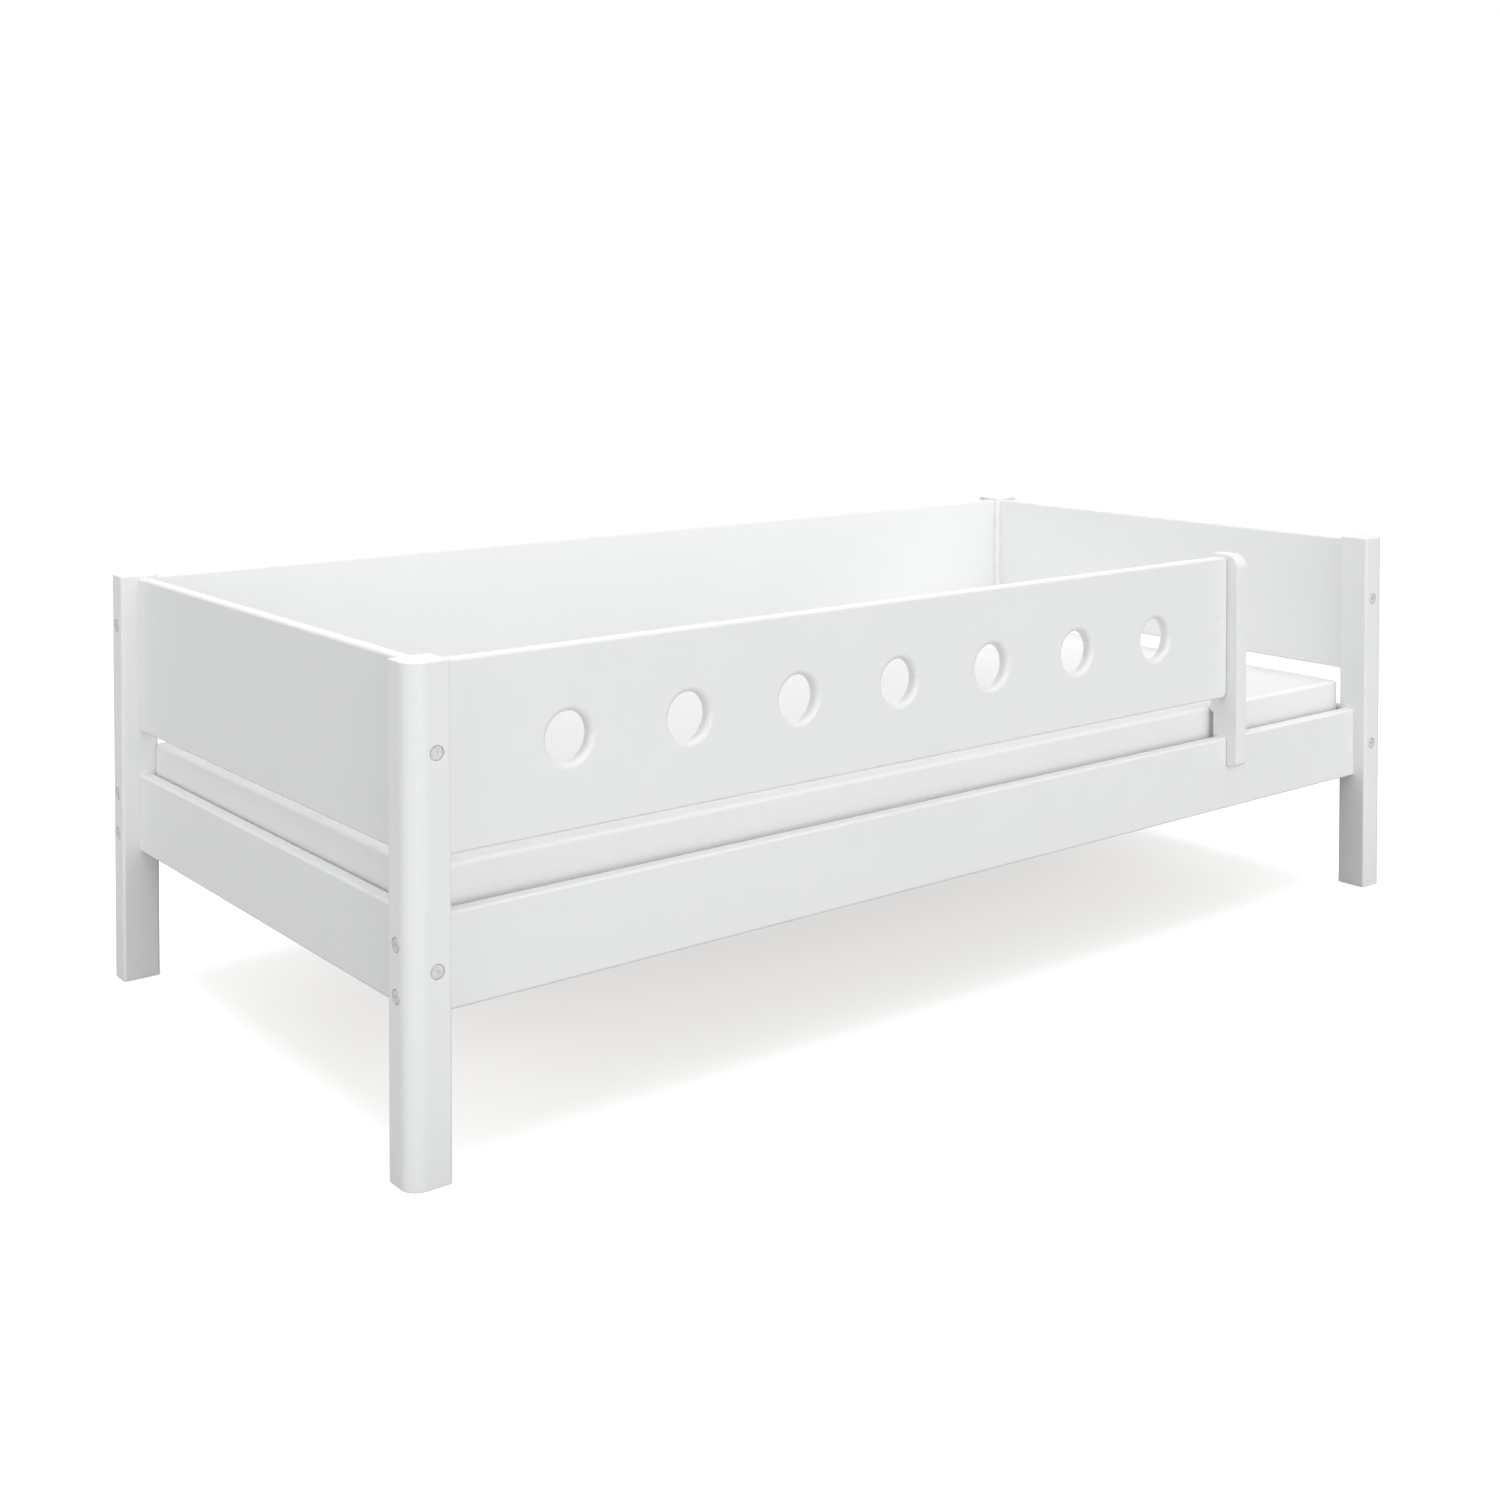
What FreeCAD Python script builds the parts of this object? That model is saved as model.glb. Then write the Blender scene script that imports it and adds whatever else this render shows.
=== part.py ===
import FreeCAD, Part
import math
import os
import Sketcher

# Single bed with four posts, low end panels, a rear panel and a holed guard rail.
# X runs along the bed, -Y is the open front, Z is up.  The origin lies on the floor
# under the middle of the bed.  All lengths are in millimetres.

PARTS_FOLDER = "parts"
SLACK = 0.01

# Driving dimensions: alias, value, meaning
DIMENSIONS = [
    ("bed_length", 2120, "overall length, over the posts"),
    ("bed_width", 1020, "overall width, over the posts"),
    ("bed_height", 670, "height of the posts"),
    ("post_width", 62, "post section along the bed"),
    ("post_depth", 57, "post section across the bed"),
    ("post_outer_radius", 25, "rounding of a post's outer upright edge"),
    ("post_inner_radius", 5, "rounding of a post's other upright edges"),
    ("post_end_radius", 1.5, "easing of a post's top and bottom edges"),
    ("board_thickness", 22, "thickness of rails and panels"),
    ("board_edge_radius", 4, "rounding along the boards' long edges"),
    ("side_recess", 24.5, "side boards' outer face behind the posts' face"),
    ("end_recess", 29.5, "end boards' outer face behind the posts' face"),
    ("rail_bottom", 212.5, "underside of the lower rails"),
    ("rail_height", 127.5, "height of the lower rails"),
    ("panel_bottom", 413, "underside of the upper panels and guard"),
    ("panel_height", 252, "height of the upper panels and guard"),
    ("guard_length", 1604, "guard rail, post to support"),
    ("guard_corner_radius", 12, "corners at the guard's free end"),
    ("guard_hole_count", 7, "round holes in the guard"),
    ("guard_hole_diameter", 70, "round holes in the guard"),
    ("guard_hole_radius", 8.5, "rounding of the holes' rims"),
    ("guard_hole_pitch", 202, "spacing of the holes"),
    ("guard_first_hole", 194, "first hole from the post"),
    ("support_width", 28, "guard support along the bed"),
    ("support_front", 3, "support's front face behind the posts' face"),
    ("support_depth", 58, "support across the bed, upper part"),
    ("support_neck", 51.5, "support across the bed, lower part"),
    ("support_step", 381, "level where the support narrows"),
    ("support_toe", 290, "lower end of the support's front leg"),
    ("support_lip", 312, "lower end of the support's rear lip"),
    ("support_corner_radius", 25, "support's front upper corner"),
    ("support_rear_radius", 6, "support's rear corners"),
    ("support_toe_radius", 8, "front corner of the support's toe"),
    ("support_tip_radius", 3, "inner corners at the lower ends of toe and lip"),
    ("support_edge_radius", 2, "easing of the support's edges"),
    ("bolt_diameter", 6, "furniture bolt shank"),
    ("bolt_head_diameter", 18, "furniture bolt head"),
    ("bolt_head_height", 3, "furniture bolt head"),
    ("bolt_head_sink", 0.2, "head below the post's face"),
    ("bolt_socket", 4, "hexagon socket across flats"),
    ("bolt_socket_depth", 2, "hexagon socket"),
    ("bolt_tip", 1, "chamfer at a bolt's tip"),
    ("head_ease", 0.8, "easing of the fasteners' heads"),
    ("bolt_reach", 38, "bolt inside a board's end"),
    ("bolt_bore", 7, "bore for a bolt"),
    ("head_bore", 20.6, "counterbore for a bolt head"),
    ("side_bolt_spacing", 66, "two bolts at each end of a side rail"),
    ("end_panel_bolt_level", 554, "bolt of an end panel"),
    ("rear_panel_bolt_level", 588, "bolt of the rear panel"),
    ("insert_diameter", 12, "threaded insert in a board's end"),
    ("insert_length", 30, "threaded insert in a board's end"),
    ("dowel_diameter", 8, "wooden dowel"),
    ("dowel_length", 40, "wooden dowel"),
    ("dowel_tip", 1, "chamfer at a dowel's ends"),
    ("fit_gap", 0.2, "diametral play of dowels, inserts and screws"),
    ("end_gap", 1, "bore beyond a dowel, insert or short screw"),
    ("tip_gap", 4, "bore beyond a bolt or long screw"),
    ("screw_tip", 2.5, "pointed length of the wood screws"),
    ("end_rail_dowel_spacing", 96, "two dowels at each end of an end rail"),
    ("end_panel_dowel_low", 454, "lower dowel of an end panel"),
    ("end_panel_dowel_spacing", 170, "two dowels at each end of an end panel"),
    ("rear_panel_dowel_low", 470, "lower dowel of the rear panel"),
    ("rear_panel_dowel_spacing", 170, "two dowels at each end of the rear panel"),
    ("guard_dowel_low", 470, "lower dowel of the guard rail"),
    ("guard_dowel_spacing", 138, "two dowels at the guard's post end"),
    ("guard_screw_diameter", 5, "screw from the support into the guard"),
    ("guard_screw_length", 70, "screw from the support into the guard"),
    ("guard_screw_head", 9.5, "head of that screw"),
    ("guard_screw_head_height", 3, "head of that screw"),
    ("guard_screw_recess", 4, "counterbore for that head"),
    ("guard_screw_spacing", 160, "two screws, one over the other"),
    ("lip_screw_diameter", 4, "screw from the support's lip into the side rail"),
    ("lip_screw_length", 20, "screw from the support's lip into the side rail"),
    ("lip_screw_head", 7.5, "head of that screw"),
    ("lip_screw_head_height", 2, "head of that screw, on the lip's face"),
    ("lip_screw_spacing", 11, "two screws side by side"),
    ("lip_screw_rise", 12, "those screws over the lip's lower end"),
    ("ledger_thickness", 20, "slat ledger across the bed"),
    ("ledger_height", 25, "slat ledger"),
    ("ledger_end_gap", 10, "ledger's end short of the post"),
    ("ledger_screw_diameter", 4.5, "ledger screw"),
    ("ledger_screw_length", 35, "ledger screw"),
    ("ledger_screw_head", 9, "ledger screw head"),
    ("ledger_screw_head_height", 2.6, "ledger screw head"),
    ("ledger_screw_recess", 3, "counterbore for that head"),
    ("ledger_screw_count", 7, "screws in each ledger"),
    ("ledger_screw_pitch", 310, "spacing of the ledger screws"),
    ("slat_count", 15, "slats"),
    ("slat_width", 70, "slat along the bed"),
    ("slat_thickness", 17, "slat"),
    ("slat_length", 915, "slat across the bed"),
    ("slat_pitch", 135.5, "spacing of the slats"),
    ("slat_edge_radius", 2.5, "rounding of the slats' edges"),
    ("slat_top", 270, "top of the slats, where the mattress lies"),
    ("ribbon_width", 25, "webbing that keeps the slats apart"),
    ("ribbon_thickness", 1.2, "webbing that keeps the slats apart"),
    ("ribbon_spacing", 600, "between the two ribbons"),
    ("mattress_length", 2000, "mattress"),
    ("mattress_width", 900, "mattress"),
    ("mattress_height", 120, "mattress"),
    ("mattress_shift", 3, "mattress towards the rear, clear of the guard support"),
    ("mattress_corner_radius", 12, "upright corners of the mattress"),
    ("mattress_edge_radius", 8, "top and bottom edges of the mattress"),
    ("cover_thickness", 4, "textile cover of the mattress"),
]

doc = FreeCAD.newDocument("single_bed")
dims = doc.addObject("Spreadsheet::Sheet", "Dims")
for row, (alias, value, meaning) in enumerate(DIMENSIONS, start=1):
    dims.set(f"A{row}", meaning)
    dims.set(f"B{row}", str(value))
    dims.setAlias(f"B{row}", alias)
doc.recompute()

# Levels and places that follow from the driving dimensions
RAIL_MIDDLE = "(Dims.rail_bottom + Dims.rail_height / 2)"
PANEL_MIDDLE = "(Dims.panel_bottom + Dims.panel_height / 2)"
HALF_LENGTH = "(Dims.bed_length / 2)"
HALF_WIDTH = "(Dims.bed_width / 2)"
SIDE_AXIS = "(Dims.side_recess + Dims.board_thickness / 2)"
END_AXIS = "(Dims.end_recess + Dims.board_thickness / 2)"
BETWEEN_POSTS_LONG = "(Dims.bed_length - 2 * Dims.post_width)"
BETWEEN_POSTS_WIDE = "(Dims.bed_width - 2 * Dims.post_depth)"
SLAT_BOTTOM = "(Dims.slat_top - Dims.slat_thickness)"
SIDE_BOLT_LEVELS = [
    f"({RAIL_MIDDLE} - Dims.side_bolt_spacing / 2)",
    f"({RAIL_MIDDLE} + Dims.side_bolt_spacing / 2)",
]
END_RAIL_DOWEL_LEVELS = [
    f"({RAIL_MIDDLE} - Dims.end_rail_dowel_spacing / 2)",
    f"({RAIL_MIDDLE} + Dims.end_rail_dowel_spacing / 2)",
]
END_PANEL_DOWEL_LEVELS = [
    "Dims.end_panel_dowel_low",
    "(Dims.end_panel_dowel_low + Dims.end_panel_dowel_spacing)",
]
REAR_PANEL_DOWEL_LEVELS = [
    "Dims.rear_panel_dowel_low",
    "(Dims.rear_panel_dowel_low + Dims.rear_panel_dowel_spacing)",
]
GUARD_DOWEL_LEVELS = [
    "Dims.guard_dowel_low",
    "(Dims.guard_dowel_low + Dims.guard_dowel_spacing)",
]
GUARD_SCREW_LEVELS = [
    f"({PANEL_MIDDLE} - Dims.guard_screw_spacing / 2)",
    f"({PANEL_MIDDLE} + Dims.guard_screw_spacing / 2)",
]
GUARD_SCREW_BORE = "(Dims.guard_screw_diameter + Dims.fit_gap)"
LIP_SCREW_LEVEL = "(Dims.support_lip + Dims.lip_screw_rise)"
LIP_SCREW_PLACES = [
    "(Dims.support_width / 2 - Dims.lip_screw_spacing / 2)",
    "(Dims.support_width / 2 + Dims.lip_screw_spacing / 2)",
]
LIP_SCREW_BORE = "(Dims.lip_screw_diameter + Dims.fit_gap)"
LIP_THICKNESS = "(Dims.support_front + Dims.support_neck - Dims.side_recess - Dims.board_thickness)"
DOWEL_BORE = "(Dims.dowel_diameter + Dims.fit_gap)"
DOWEL_DEPTH = "(Dims.dowel_length / 2 + Dims.end_gap)"
INSERT_BORE = "(Dims.insert_diameter + Dims.fit_gap)"
INSERT_DEPTH = "(Dims.insert_length + Dims.end_gap)"
HEAD_RECESS = "(Dims.bolt_head_height + Dims.bolt_head_sink)"

subparts = []


def number(expression):
    """Value of an expression in the sheet's aliases."""
    return float(dims.evalExpression(expression))


# ---------------------------------------------------------------- sketch helpers

def new_body(name, turn=0.0, place=None):
    """A sub-part whose frame may be turned about Z and moved by expressions."""
    body = doc.addObject("PartDesign::Body", name)
    body.Label = name
    body.Placement.Rotation = FreeCAD.Rotation(FreeCAD.Vector(0, 0, 1), turn)
    for axis, expression in zip("xyz", place or ()):
        body.setExpression(f"Placement.Base.{axis}", expression)
    subparts.append(body)
    return body


def new_sketch(body, role, shift=("0", "0", "0")):
    """A sketch on one of the body's origin planes, shifted in the plane's own axes."""
    plane = next(item for item in body.Origin.OriginFeatures if item.Role == role)
    sketch = body.newObject("Sketcher::SketchObject", f"{body.Name}_sketch")
    sketch.AttachmentSupport = [(plane, "")]
    sketch.MapMode = "FlatFace"
    for axis, expression in zip("xyz", shift):
        if expression != "0":
            sketch.setExpression(f"AttachmentOffset.Base.{axis}", expression)
    return sketch


def fix_point(sketch, geometry, end, x, y):
    """Hold one end of a line, or a centre, at a place given by two expressions."""
    for kind, axis, expression in (("DistanceX", -2, x), ("DistanceY", -1, y)):
        if abs(number(expression)) < 1e-9:
            sketch.addConstraint(Sketcher.Constraint("PointOnObject", geometry, end, axis))
            continue
        distance = number(expression)
        rule = sketch.addConstraint(Sketcher.Constraint(kind, -1, 1, geometry, end, distance))
        sketch.setExpression(f"Constraints[{rule}]", expression)


def draw_outline(sketch, corners):
    """A closed outline of straight lines through corners given by expressions."""
    points = [FreeCAD.Vector(number(x), number(y), 0) for x, y in corners]
    first = sketch.GeometryCount
    count = len(points)
    for index in range(count):
        line = Part.LineSegment(points[index], points[(index + 1) % count])
        sketch.addGeometry(line, False)
    for index in range(count):
        following = first + (index + 1) % count
        sketch.addConstraint(Sketcher.Constraint("Coincident", first + index, 2, following, 1))
    for index, (x, y) in enumerate(corners):
        fix_point(sketch, first + index, 1, x, y)


def draw_rectangle(sketch, left, bottom, right, top):
    draw_outline(sketch, [(left, bottom), (right, bottom), (right, top), (left, top)])


def draw_circle(sketch, x, y, diameter):
    centre = FreeCAD.Vector(number(x), number(y), 0)
    circle = Part.Circle(centre, FreeCAD.Vector(0, 0, 1), number(diameter) / 2)
    index = sketch.addGeometry(circle, False)
    fix_point(sketch, index, 3, x, y)
    rule = sketch.addConstraint(Sketcher.Constraint("Diameter", index, number(diameter)))
    sketch.setExpression(f"Constraints[{rule}]", diameter)


def draw_hexagon(sketch, across_flats):
    """A hexagon about the sketch's origin, held by the circle through its corners."""
    radius = number(across_flats) / math.sqrt(3)
    corners = []
    for index in range(6):
        angle = math.radians(60 * index)
        corners.append(FreeCAD.Vector(radius * math.cos(angle), radius * math.sin(angle), 0))
    for index in range(6):
        sketch.addGeometry(Part.LineSegment(corners[index], corners[(index + 1) % 6]), False)
    around = Part.Circle(FreeCAD.Vector(0, 0, 0), FreeCAD.Vector(0, 0, 1), radius)
    guide = sketch.addGeometry(around, True)
    sketch.addConstraint(Sketcher.Constraint("Coincident", guide, 3, -1, 1))
    for index in range(6):
        sketch.addConstraint(Sketcher.Constraint("Coincident", index, 2, (index + 1) % 6, 1))
        sketch.addConstraint(Sketcher.Constraint("PointOnObject", index, 1, guide))
    for index in range(1, 6):
        sketch.addConstraint(Sketcher.Constraint("Equal", 0, index))
    sketch.addConstraint(Sketcher.Constraint("PointOnObject", 0, 1, -1))
    rule = sketch.addConstraint(Sketcher.Constraint("Radius", guide, radius))
    sketch.setExpression(f"Constraints[{rule}]", f"{across_flats} / sqrt(3)")


# --------------------------------------------------------------- feature helpers

def pad(body, sketch, length, flip=False):
    feature = body.newObject("PartDesign::Pad", f"{body.Name}_pad")
    feature.Profile = sketch
    feature.setExpression("Length", length)
    feature.Reversed = flip
    doc.recompute()
    return feature


def cut(body, sketch, depth, flip=False):
    """A pocket; it has to take material away."""
    before = body.Shape.Volume
    feature = body.newObject("PartDesign::Pocket", f"{body.Name}_pocket")
    feature.Profile = sketch
    feature.setExpression("Length", depth)
    feature.Reversed = flip
    doc.recompute()
    if body.Shape.Volume > before - 1:
        raise RuntimeError(f"{feature.Name} cuts nothing")
    return feature


def fillet(body, radius, choose):
    """Round the edges of the body's last feature for which choose(edge) is true."""
    base = body.Tip
    names = []
    for index, edge in enumerate(base.Shape.Edges, start=1):
        if choose(edge):
            names.append(f"Edge{index}")
    if not names:
        raise RuntimeError(f"{body.Name} has no such edge")
    feature = body.newObject("PartDesign::Fillet", f"{body.Name}_fillet")
    feature.Base = (base, names)
    feature.setExpression("Radius", radius)
    doc.recompute()
    return feature


def revolve(body, sketch):
    """Turn a profile about the sketch's own horizontal axis."""
    feature = body.newObject("PartDesign::Revolution", f"{body.Name}_revolution")
    feature.Profile = sketch
    feature.ReferenceAxis = (sketch, ["H_Axis"])
    feature.Angle = 360
    doc.recompute()
    return feature


def repeat(body, originals, row=None, mirrors=()):
    """Repeat features in a row and mirror them in the body's origin planes."""
    transform = body.newObject("PartDesign::MultiTransform", f"{body.Name}_repeat")
    transform.Originals = originals
    steps = []
    if row:
        role, count, pitch = row
        line = next(item for item in body.Origin.OriginFeatures if item.Role == role)
        pattern = body.newObject("PartDesign::LinearPattern", f"{body.Name}_row")
        pattern.Direction = (line, [""])
        pattern.Occurrences = count
        pattern.setExpression("Length", f"({count} - 1) * {pitch}")
        steps.append(pattern)
    for role in mirrors:
        plane = next(item for item in body.Origin.OriginFeatures if item.Role == role)
        mirror = body.newObject("PartDesign::Mirrored", f"{body.Name}_mirror")
        mirror.MirrorPlane = (plane, [""])
        steps.append(mirror)
    transform.Transformations = steps
    body.Tip = transform
    doc.recompute()
    return transform


def is_line_along(edge, axis):
    """True for a straight edge along the axis numbered 0, 1 or 2."""
    if edge.Curve.TypeId != "Part::GeomLine":
        return False
    direction = edge.Vertexes[-1].Point - edge.Vertexes[0].Point
    return abs(abs(direction[axis]) - direction.Length) < 1e-6


def is_at(edge, places):
    """True when the edge's middle lies at the given coordinate of each given axis."""
    middle = edge.CenterOfMass
    return all(abs(middle[axis] - value) < SLACK for axis, value in places.items())


# ------------------------------------------------------------------------- posts

def bore_across(body, centre, level, diameter, start, depth, flip):
    """A bore along X, centred at local Y = centre."""
    sketch = new_sketch(body, "YZ_Plane", ("0", "0", start))
    draw_circle(sketch, centre, level, diameter)
    cut(body, sketch, depth, flip)


def bore_along(body, centre, level, diameter, start, depth, flip):
    """A bore along Y, centred at local X = centre; start is the distance from X-Z plane."""
    sketch = new_sketch(body, "XZ_Plane", ("0", "0", f"-{start}" if start != "0" else "0"))
    draw_circle(sketch, centre, level, diameter)
    cut(body, sketch, depth, flip)


def make_post(name, is_left, is_front, side_bolts, side_dowels):
    """An upright with its bolt bores, head recesses and dowel bores."""
    left = f"-{HALF_LENGTH}" if is_left else f"({HALF_LENGTH} - Dims.post_width)"
    front = f"-{HALF_WIDTH}" if is_front else f"({HALF_WIDTH} - Dims.post_depth)"
    body = new_body(name, place=(left, front, "0"))
    outline = new_sketch(body, "XY_Plane")
    draw_rectangle(outline, "0", "0", "Dims.post_width", "Dims.post_depth")
    pad(body, outline, "Dims.bed_height")

    outer_x = 0.0 if is_left else number("Dims.post_width")
    outer_y = 0.0 if is_front else number("Dims.post_depth")
    outer_edge = {0: outer_x, 1: outer_y}
    fillet(body, "Dims.post_outer_radius", lambda e: is_line_along(e, 2) and is_at(e, outer_edge))
    square = (0.0, number("Dims.post_width")), (0.0, number("Dims.post_depth"))
    others = [{0: x, 1: y} for x in square[0] for y in square[1] if {0: x, 1: y} != outer_edge]
    fillet(
        body,
        "Dims.post_inner_radius",
        lambda e: is_line_along(e, 2) and any(is_at(e, place) for place in others),
    )
    top = number("Dims.bed_height")
    fillet(body, "Dims.post_end_radius", lambda e: is_at(e, {2: top}) or is_at(e, {2: 0.0}))

    across_y = SIDE_AXIS if is_front else f"(Dims.post_depth - {SIDE_AXIS})"
    along_x = END_AXIS if is_left else f"(Dims.post_width - {END_AXIS})"
    outer_start = "0" if is_left else "Dims.post_width"
    inner_start = "Dims.post_width" if is_left else "0"
    for level in side_bolts:
        bore_across(body, across_y, level, "Dims.bolt_bore", outer_start, "Dims.post_width", is_left)
        bore_across(body, across_y, level, "Dims.head_bore", outer_start, HEAD_RECESS, is_left)
    for level in side_dowels:
        bore_across(body, across_y, level, DOWEL_BORE, inner_start, DOWEL_DEPTH, not is_left)
    outer_start = "0" if is_front else "Dims.post_depth"
    inner_start = "Dims.post_depth" if is_front else "0"
    for level in (RAIL_MIDDLE, "Dims.end_panel_bolt_level"):
        bore_along(body, along_x, level, "Dims.bolt_bore", outer_start, "Dims.post_depth", not is_front)
        bore_along(body, along_x, level, "Dims.head_bore", outer_start, HEAD_RECESS, not is_front)
    for level in END_RAIL_DOWEL_LEVELS + END_PANEL_DOWEL_LEVELS:
        bore_along(body, along_x, level, DOWEL_BORE, inner_start, DOWEL_DEPTH, is_front)
    return body


make_post("post_front_left", True, True, SIDE_BOLT_LEVELS, GUARD_DOWEL_LEVELS)
make_post("post_front_right", False, True, SIDE_BOLT_LEVELS, [])
REAR_BOLT_LEVELS = SIDE_BOLT_LEVELS + ["Dims.rear_panel_bolt_level"]
make_post("post_rear_left", True, False, REAR_BOLT_LEVELS, REAR_PANEL_DOWEL_LEVELS)
make_post("post_rear_right", False, False, REAR_BOLT_LEVELS, REAR_PANEL_DOWEL_LEVELS)


# ------------------------------------------------------------------------ boards

def make_board(name, length, bottom, height, position, far_corner_radius=None):
    """A board on edge: local X along it, local Y through it, local Z up.

    The outer face is at local Y = 0 and the inner face at the board's thickness.
    """
    turn, place = position
    body = new_body(name, turn, (*place, bottom))
    outline = new_sketch(body, "XZ_Plane")
    draw_rectangle(outline, "0", "0", length, height)
    pad(body, outline, "Dims.board_thickness", True)
    if far_corner_radius:
        end = number(length)
        fillet(body, far_corner_radius, lambda e: is_line_along(e, 1) and is_at(e, {0: end}))
    fillet(body, "Dims.board_edge_radius", lambda e: is_line_along(e, 0))
    return body


def bore_ends(body, length, levels, diameter, depth, ends=(False, True)):
    """Bores into a board's ends, at its mid-thickness; the far end is True."""
    for far in ends:
        sketch = new_sketch(body, "YZ_Plane", ("0", "0", length if far else "0"))
        for level in levels:
            draw_circle(sketch, "Dims.board_thickness / 2", level, diameter)
        cut(body, sketch, depth, not far)


def above(levels, bottom):
    """Levels over the floor turned into heights over a board's underside."""
    return [f"({level} - {bottom})" for level in levels]


def drill_board(body, length, bottom, bolts, dowels):
    """Bolt, insert and dowel bores of a board that is held at both ends."""
    bolt_depth = "(Dims.bolt_reach + Dims.tip_gap)"
    bore_ends(body, length, above(bolts, bottom), "Dims.bolt_bore", bolt_depth)
    bore_ends(body, length, above(bolts, bottom), INSERT_BORE, INSERT_DEPTH)
    if dowels:
        bore_ends(body, length, above(dowels, bottom), DOWEL_BORE, DOWEL_DEPTH)


SIDE_LEFT = f"-({HALF_LENGTH} - Dims.post_width)"
SIDE_RIGHT = f"({HALF_LENGTH} - Dims.post_width)"
FRONT_FACE = f"-({HALF_WIDTH} - Dims.side_recess)"
REAR_FACE = f"({HALF_WIDTH} - Dims.side_recess)"
LEFT_FACE = f"-({HALF_LENGTH} - Dims.end_recess)"
RIGHT_FACE = f"({HALF_LENGTH} - Dims.end_recess)"
BOARD_FRONT_END = f"-({HALF_WIDTH} - Dims.post_depth)"
BOARD_REAR_END = f"({HALF_WIDTH} - Dims.post_depth)"

# Turned so that each board's local Y points into the bed
FRONT_BOARD = 0.0, (SIDE_LEFT, FRONT_FACE)
REAR_BOARD = 180.0, (SIDE_RIGHT, REAR_FACE)
LEFT_BOARD = -90.0, (LEFT_FACE, BOARD_REAR_END)
RIGHT_BOARD = 90.0, (RIGHT_FACE, BOARD_FRONT_END)

LEDGER_SCREW_LEVEL = f"({SLAT_BOTTOM} - Dims.ledger_height / 2)"
LEDGER_SCREW_COUNT = int(number("Dims.ledger_screw_count"))
LEDGER_SCREW_BORE = "(Dims.ledger_screw_diameter + Dims.fit_gap)"
FIRST_LEDGER_SCREW = "((Dims.ledger_screw_count - 1) / 2 * Dims.ledger_screw_pitch)"


def make_side_rail(name, position):
    """A side rail with pilot holes for the ledger screws."""
    body = make_board(name, BETWEEN_POSTS_LONG, "Dims.rail_bottom", "Dims.rail_height", position)
    drill_board(body, BETWEEN_POSTS_LONG, "Dims.rail_bottom", SIDE_BOLT_LEVELS, [])
    pilots = new_sketch(body, "XZ_Plane", ("0", "0", "-Dims.board_thickness"))
    height = f"({LEDGER_SCREW_LEVEL} - Dims.rail_bottom)"
    for index in range(LEDGER_SCREW_COUNT):
        x = f"({BETWEEN_POSTS_LONG} / 2 - {FIRST_LEDGER_SCREW} + {index} * Dims.ledger_screw_pitch)"
        draw_circle(pilots, x, height, LEDGER_SCREW_BORE)
    cut(body, pilots, "(Dims.ledger_screw_length - Dims.ledger_thickness + Dims.end_gap)", True)
    return body


side_rail_front = make_side_rail("side_rail_front", FRONT_BOARD)
make_side_rail("side_rail_rear", REAR_BOARD)
lip_pilots = new_sketch(side_rail_front, "XZ_Plane", ("0", "0", "-Dims.board_thickness"))
for place in LIP_SCREW_PLACES:
    pilot_x = f"(Dims.guard_length + {place})"
    draw_circle(lip_pilots, pilot_x, f"({LIP_SCREW_LEVEL} - Dims.rail_bottom)", LIP_SCREW_BORE)
cut(side_rail_front, lip_pilots, f"(Dims.lip_screw_length - {LIP_THICKNESS} + Dims.end_gap)", True)

RAIL_SPAN = "Dims.rail_bottom", "Dims.rail_height"
PANEL_SPAN = "Dims.panel_bottom", "Dims.panel_height"
for side, position in (("left", LEFT_BOARD), ("right", RIGHT_BOARD)):
    rail = make_board(f"end_rail_{side}", BETWEEN_POSTS_WIDE, *RAIL_SPAN, position)
    drill_board(rail, BETWEEN_POSTS_WIDE, RAIL_SPAN[0], [RAIL_MIDDLE], END_RAIL_DOWEL_LEVELS)
    panel = make_board(f"end_panel_{side}", BETWEEN_POSTS_WIDE, *PANEL_SPAN, position)
    panel_bolts = ["Dims.end_panel_bolt_level"]
    drill_board(panel, BETWEEN_POSTS_WIDE, PANEL_SPAN[0], panel_bolts, END_PANEL_DOWEL_LEVELS)

rear_panel = make_board("rear_panel", BETWEEN_POSTS_LONG, *PANEL_SPAN, REAR_BOARD)
rear_bolts = ["Dims.rear_panel_bolt_level"]
drill_board(rear_panel, BETWEEN_POSTS_LONG, PANEL_SPAN[0], rear_bolts, REAR_PANEL_DOWEL_LEVELS)


# ---------------------------------------------------------- guard rail and support

def make_guard_rail():
    """The front guard: a board with a row of round holes."""
    length = "Dims.guard_length"
    body = make_board("guard_rail", length, *PANEL_SPAN, FRONT_BOARD, "Dims.guard_corner_radius")
    holes = new_sketch(body, "XZ_Plane")
    for index in range(int(number("Dims.guard_hole_count"))):
        x = f"(Dims.guard_first_hole + {index} * Dims.guard_hole_pitch)"
        draw_circle(holes, x, "Dims.panel_height / 2", "Dims.guard_hole_diameter")
    cut(body, holes, "Dims.board_thickness", False)
    rim = number("Dims.guard_hole_diameter") / 2
    fillet(
        body,
        "Dims.guard_hole_radius",
        lambda e: e.Curve.TypeId == "Part::GeomCircle" and abs(e.Curve.Radius - rim) < SLACK,
    )
    near, far = False, True
    dowels = above(GUARD_DOWEL_LEVELS, PANEL_SPAN[0])
    bore_ends(body, length, dowels, DOWEL_BORE, DOWEL_DEPTH, [near])
    screws = above(GUARD_SCREW_LEVELS, PANEL_SPAN[0])
    screw_depth = "(Dims.guard_screw_length - Dims.support_width + Dims.tip_gap)"
    bore_ends(body, length, screws, GUARD_SCREW_BORE, screw_depth, [far])


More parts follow.
